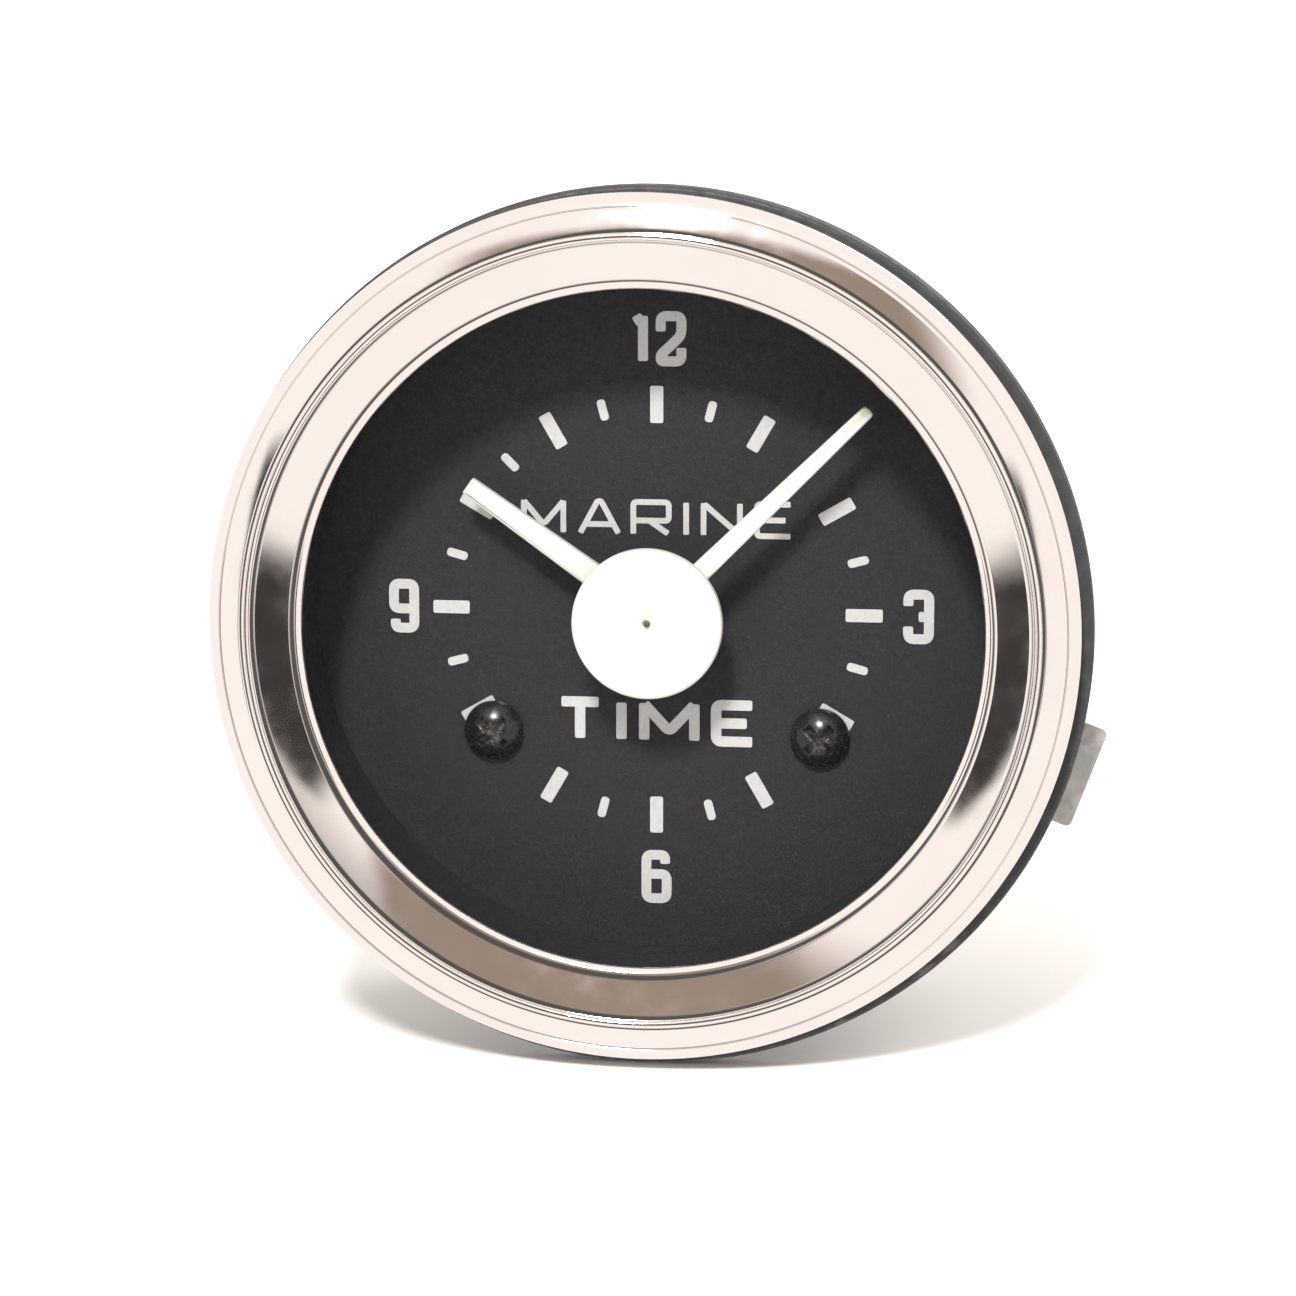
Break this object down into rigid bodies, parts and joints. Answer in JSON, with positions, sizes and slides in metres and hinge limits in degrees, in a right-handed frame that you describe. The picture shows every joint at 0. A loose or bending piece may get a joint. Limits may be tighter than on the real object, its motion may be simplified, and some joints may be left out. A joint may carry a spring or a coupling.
{
  "type": "ships deck clock",
  "caption": "Round panel-mounted quartz clock with a chromed stepped bezel, flat lens, black dial, white hands, steel case, and a rear clamp with knurled nuts.",
  "frame": {"origin": "centre of the panel's hole, on the plane where the gasket's rear face meets the panel", "axes": "+Y points from the dial back through the panel, along the case; +Z points to 12 o'clock; +X is to the reader's right when facing the dial"},
  "size_m": [0.0621, 0.0578, 0.0608],
  "materials": {
    "chrome": "polished chrome plate",
    "steel": "bright pressed steel",
    "zinc": "zinc plated",
    "brass": "turned and stamped brass",
    "copper": "enamelled copper winding",
    "magnet": "sintered magnet",
    "lens": "flat polished glass",
    "dial": "matte black",
    "hand_white": "matte cream white",
    "black_screw": "black oxide",
    "black_plastic": "moulded black",
    "white_plastic": "moulded natural white",
    "rubber": "matte black rubber",
    "board": "green fibreglass board"
  },
  "bodies": {
    "case": {"bezel_ring": "chrome", "panel_gasket": "rubber", "lens_glass": "lens", "lens_gasket": "rubber", "shade_ring": "dial", "dial_plate": "dial", "dial_screw_left": "black_screw", "dial_screw_right": "black_screw", "dial_spacer_left": "white_plastic", "dial_spacer_right": "white_plastic", "case_can": "steel", "movement_ring": "white_plastic", "front_plate": "brass", "back_plate": "brass", "plate_pillar_1": "brass", "plate_pillar_2": "brass", "plate_pillar_3": "brass", "movement_screw_1": "steel", "movement_screw_2": "steel", "movement_screw_3": "steel", "motion_post": "steel", "stator_plate": "steel", "coil_core": "steel", "drive_coil": "copper", "stator_post_left": "brass", "stator_post_right": "brass", "circuit_board": "board", "board_spacer_left": "white_plastic", "board_spacer_right": "white_plastic", "driver_chip": "black_plastic", "quartz_crystal": "steel", "supply_capacitor": "black_plastic", "terminal_block": "black_plastic", "spade_negative": "brass", "spade_positive": "brass", "stud_left": "zinc", "stud_right": "zinc"},
    "minute_arbor": {"centre_arbor": "brass", "minute_hand": "hand_white", "hub_cap": "hand_white"},
    "hour_pipe": {"hour_wheel": "brass", "hour_hand": "hand_white"},
    "motion_gear": {"motion_wheel": "brass"},
    "setting_stem": {"setting_shaft": "steel", "setting_knob": "black_plastic"},
    "second_gear": {"second_wheel": "white_plastic"},
    "first_gear": {"first_wheel": "white_plastic"},
    "rotor": {"rotor_arbor": "steel", "rotor_magnet": "magnet"},
    "clamp": {"clamp_bracket": "steel", "spring_washer_left": "zinc", "spring_washer_right": "zinc"},
    "nut_left": {"clamp_nut_left": "brass"},
    "nut_right": {"clamp_nut_right": "brass"},
    "lamp": {"lamp_holder": "black_plastic", "lamp_bulb": "lens"}
  },
  "joints": [
    {"name": "minute_turn", "type": "hinge", "parent": "case", "child": "minute_arbor", "pos_m": [0, 0, 0], "axis": [0, 1, 0], "continuous": true},
    {"name": "hour_turn", "type": "hinge", "parent": "case", "child": "hour_pipe", "pos_m": [0, 0, 0], "axis": [0, 1, 0], "continuous": true},
    {"name": "motion_turn", "type": "hinge", "parent": "case", "child": "motion_gear", "pos_m": [0, 0, -0.006], "axis": [0, 1, 0], "continuous": true},
    {"name": "setting_turn", "type": "hinge", "parent": "case", "child": "setting_stem", "pos_m": [0, 0, -0.012], "axis": [0, 1, 0], "continuous": true},
    {"name": "second_turn", "type": "hinge", "parent": "case", "child": "second_gear", "pos_m": [-0.00416, 0, 0.0024], "axis": [0, 1, 0], "continuous": true},
    {"name": "first_turn", "type": "hinge", "parent": "case", "child": "first_gear", "pos_m": [-0.00416, 0, 0.00708], "axis": [0, 1, 0], "continuous": true},
    {"name": "rotor_turn", "type": "hinge", "parent": "case", "child": "rotor", "pos_m": [-0.00185, 0, 0.01108], "axis": [0, 1, 0], "continuous": true},
    {"name": "clamp_slide", "type": "slide", "parent": "case", "child": "clamp", "axis": [0, 1, 0], "range_m": [-0.0042, 0.007]},
    {"name": "nut_left_turn", "type": "hinge", "parent": "clamp", "child": "nut_left", "pos_m": [-0.01639, 0.0395, 0.00613], "axis": [0, 1, 0], "range_deg": [-2160, 3600]},
    {"name": "nut_right_turn", "type": "hinge", "parent": "clamp", "child": "nut_right", "pos_m": [0.01639, 0.0395, -0.00613], "axis": [0, 1, 0], "range_deg": [-2160, 3600]},
    {"name": "lamp_slide", "type": "slide", "parent": "case", "child": "lamp", "axis": [0, 1, 0], "range_m": [0, 0.014]}
  ],
  "couplings": [
    {"joint": "hour_turn", "follows": "minute_turn", "ratio": 0.083333},
    {"joint": "motion_turn", "follows": "minute_turn", "ratio": -0.33333},
    {"joint": "setting_turn", "follows": "minute_turn", "ratio": 1},
    {"joint": "second_turn", "follows": "minute_turn", "ratio": -3},
    {"joint": "first_turn", "follows": "minute_turn", "ratio": 15},
    {"joint": "rotor_turn", "follows": "minute_turn", "ratio": -90},
    {"joint": "nut_left_turn", "follows": "clamp_slide", "rad_per_m": 8976},
    {"joint": "nut_right_turn", "follows": "clamp_slide", "rad_per_m": 8976}
  ]
}
